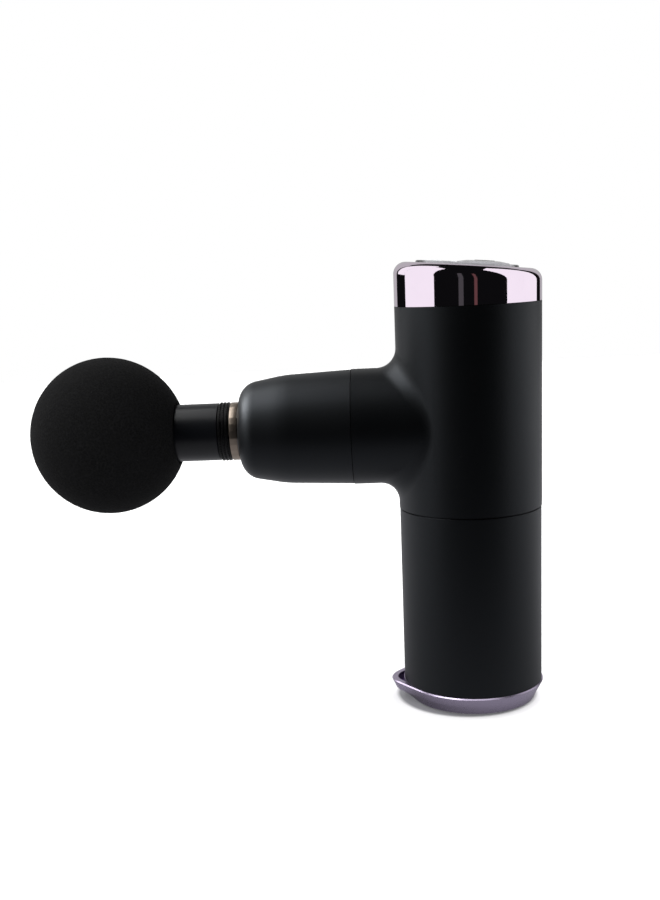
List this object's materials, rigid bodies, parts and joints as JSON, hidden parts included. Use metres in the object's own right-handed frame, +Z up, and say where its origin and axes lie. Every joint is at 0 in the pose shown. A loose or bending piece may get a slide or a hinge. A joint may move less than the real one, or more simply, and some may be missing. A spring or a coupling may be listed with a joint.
{
  "type": "massage gun",
  "caption": "T-shaped hand-held massage gun: upright round handle, slanted bright cap with a push button, short tapered barrel, and a soft ball on a pull-off stem.",
  "frame": {"origin": "centre of the foot pad's underside, on the handle's axis", "axes": "+Z up along the handle, -X along the barrel towards the ball, +Y towards the gun's far side"},
  "size_m": [0.1638, 0.0504, 0.1411],
  "materials": {
    "aluminium": "satin",
    "black_rubber": "matte",
    "board_green": "satin",
    "brass": "satin",
    "cell_wrap": "satin",
    "collar_bronze": "satin",
    "copper": "gloss",
    "dark_chrome": "polished",
    "foam_black": "matte",
    "light_clear": "gloss",
    "neck_grey": "satin",
    "panel_black": "gloss",
    "panel_grey": "gloss",
    "ring_chrome": "satin",
    "soft_black": "satin",
    "steel": "satin",
    "white_plastic": "satin",
    "wire_red": "satin"
  },
  "bodies": {
    "housing": {"upper_housing": "soft_black", "grip_sleeve": "soft_black", "seam_gasket": "black_rubber", "nose_cover": "soft_black", "top_cap": "dark_chrome", "panel_bezel": "panel_black", "panel_lens": "panel_grey", "light_pipes": "light_clear", "control_board": "board_green", "board_screws": "steel", "tact_switch": "panel_black", "motor_bracket": "aluminium", "bracket_screws": "steel", "motor_can": "steel", "motor_screws": "steel", "motor_end_cap": "aluminium", "front_bearing": "steel", "rear_bearing": "steel", "stator_core": "steel", "stator_windings": "copper", "barrel_carrier": "aluminium", "flange_screws": "steel", "slide_bushing": "white_plastic", "nose_seal": "black_rubber", "battery_cells": "cell_wrap", "battery_clamp": "white_plastic", "battery_tray": "white_plastic", "battery_strips": "steel", "battery_board": "board_green", "wire_loom": "wire_red", "base_ring": "ring_chrome", "base_cover": "soft_black", "base_screws": "steel", "foot_pad": "black_rubber", "charge_socket": "steel", "charge_board": "board_green"},
    "crank": {"motor_rotor": "steel", "drive_shaft": "steel", "eccentric_wheel": "steel", "pin_clip": "steel", "counterweight": "brass"},
    "rod": {"connecting_rod": "aluminium", "rod_bearing": "steel"},
    "piston": {"piston": "aluminium", "wrist_pin": "steel", "piston_collar": "collar_bronze"},
    "head": {"head_stem": "neck_grey", "stem_rings": "black_rubber", "neck_band": "black_rubber", "head_core": "white_plastic", "foam_ball": "foam_black"},
    "button": {"power_button": "panel_grey"}
  },
  "joints": [
    {"name": "crank_turn", "type": "hinge", "parent": "housing", "child": "crank", "pos_m": [0, 0, 0.0906], "axis": [0, 0, 1], "range_deg": [0, 180]},
    {"name": "rod_turn", "type": "hinge", "parent": "crank", "child": "rod", "pos_m": [0.003, 0, 0.0906], "axis": [0, 0, 1], "range_deg": [-180, 0]},
    {"name": "piston_stroke", "type": "slide", "parent": "housing", "child": "piston", "axis": [-1, 0, 0], "range_m": [0, 0.006]},
    {"name": "head_pull", "type": "slide", "parent": "piston", "child": "head", "axis": [-1, 0, 0], "range_m": [0, 0.028]},
    {"name": "button_press", "type": "slide", "parent": "housing", "child": "button", "axis": [-0.0993, 0, -0.9951], "range_m": [0, 0.0004], "stiffness_N_per_m": 1500}
  ],
  "couplings": [
    {"joint": "rod_turn", "follows": "crank_turn", "ratio": -1},
    {"joint": "piston_stroke", "follows": "crank_turn", "m_per_rad": 0.0019099}
  ]
}
